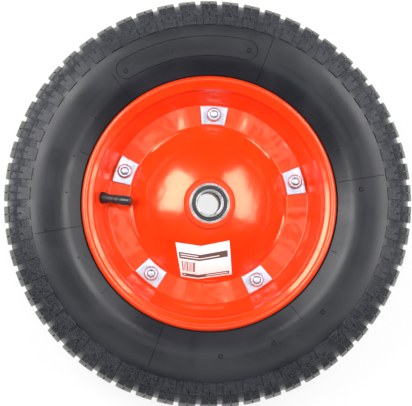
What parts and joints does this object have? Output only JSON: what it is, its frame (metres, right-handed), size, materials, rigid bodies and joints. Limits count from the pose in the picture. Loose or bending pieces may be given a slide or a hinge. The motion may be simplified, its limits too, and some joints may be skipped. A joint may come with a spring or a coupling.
{
  "type": "wheelbarrow wheel",
  "caption": "Pneumatic wheelbarrow wheel: treaded tyre on a red two-piece bolted steel rim with sealed ball bearings and a side valve.",
  "frame": {"origin": "centre of the axle bore, at the middle of the wheel's width", "axes": "+Z along the axle towards the side with the valve and the nuts; the wheel lies on its other sidewall, and +X is the right of the picture"},
  "size_m": [0.36, 0.36, 0.082],
  "materials": {
    "tyre": "matt moulded rubber",
    "tube_rubber": "smooth soft rubber",
    "red_paint": "glossy baked enamel",
    "zinc_steel": "bright zinc plating",
    "bearing_steel": "ground steel",
    "cage_steel": "pressed steel",
    "seal_rubber": "matt rubber",
    "brass": "turned brass",
    "black_plastic": "ribbed moulded plastic",
    "label_paper": "printed paper"
  },
  "bodies": {
    "wheel": {"tyre": "tyre", "inner_tube": "tube_rubber", "rim_front": "red_paint", "rim_back": "red_paint", "hub_tube": "red_paint", "clamp_plates": "zinc_steel", "clamp_nuts": "zinc_steel", "clamp_bolts": "zinc_steel", "label": "label_paper", "valve_body": "brass", "valve_core": "brass", "front_bearing_outer_race": "bearing_steel", "front_bearing_upper_seal": "seal_rubber", "front_bearing_lower_seal": "seal_rubber", "back_bearing_outer_race": "bearing_steel", "back_bearing_upper_seal": "seal_rubber", "back_bearing_lower_seal": "seal_rubber"},
    "front_inner_race": {"front_bearing_inner_race": "bearing_steel"},
    "front_ball_set": {"front_bearing_balls": "bearing_steel", "front_bearing_cage": "cage_steel"},
    "back_inner_race": {"back_bearing_inner_race": "bearing_steel"},
    "back_ball_set": {"back_bearing_balls": "bearing_steel", "back_bearing_cage": "cage_steel"},
    "valve_cap": {"valve_cap": "black_plastic"},
    "valve_pin": {"valve_pin": "brass"}
  },
  "joints": [
    {"name": "front_bearing_spin", "type": "hinge", "parent": "wheel", "child": "front_inner_race", "pos_m": [0, 0, 0.0315], "axis": [0, 0, 1], "continuous": true},
    {"name": "front_balls_roll", "type": "hinge", "parent": "wheel", "child": "front_ball_set", "pos_m": [0, 0, 0.0315], "axis": [0, 0, 1], "continuous": true},
    {"name": "back_bearing_spin", "type": "hinge", "parent": "wheel", "child": "back_inner_race", "pos_m": [0, 0, -0.0315], "axis": [0, 0, 1], "continuous": true},
    {"name": "back_balls_roll", "type": "hinge", "parent": "wheel", "child": "back_ball_set", "pos_m": [0, 0, -0.0315], "axis": [0, 0, 1], "continuous": true},
    {"name": "cap_unscrew", "type": "slide", "parent": "wheel", "child": "valve_cap", "axis": [0.9186, -0.1258, 0.3746], "range_m": [0, 0.0125]},
    {"name": "pin_press", "type": "slide", "parent": "wheel", "child": "valve_pin", "axis": [-0.9186, 0.1258, -0.3746], "range_m": [0, 0.0012], "stiffness_N_per_m": 200, "springref_m": -0.003}
  ],
  "couplings": [
    {"joint": "front_balls_roll", "follows": "front_bearing_spin", "ratio": 0.41345},
    {"joint": "back_balls_roll", "follows": "back_bearing_spin", "ratio": 0.41345}
  ]
}
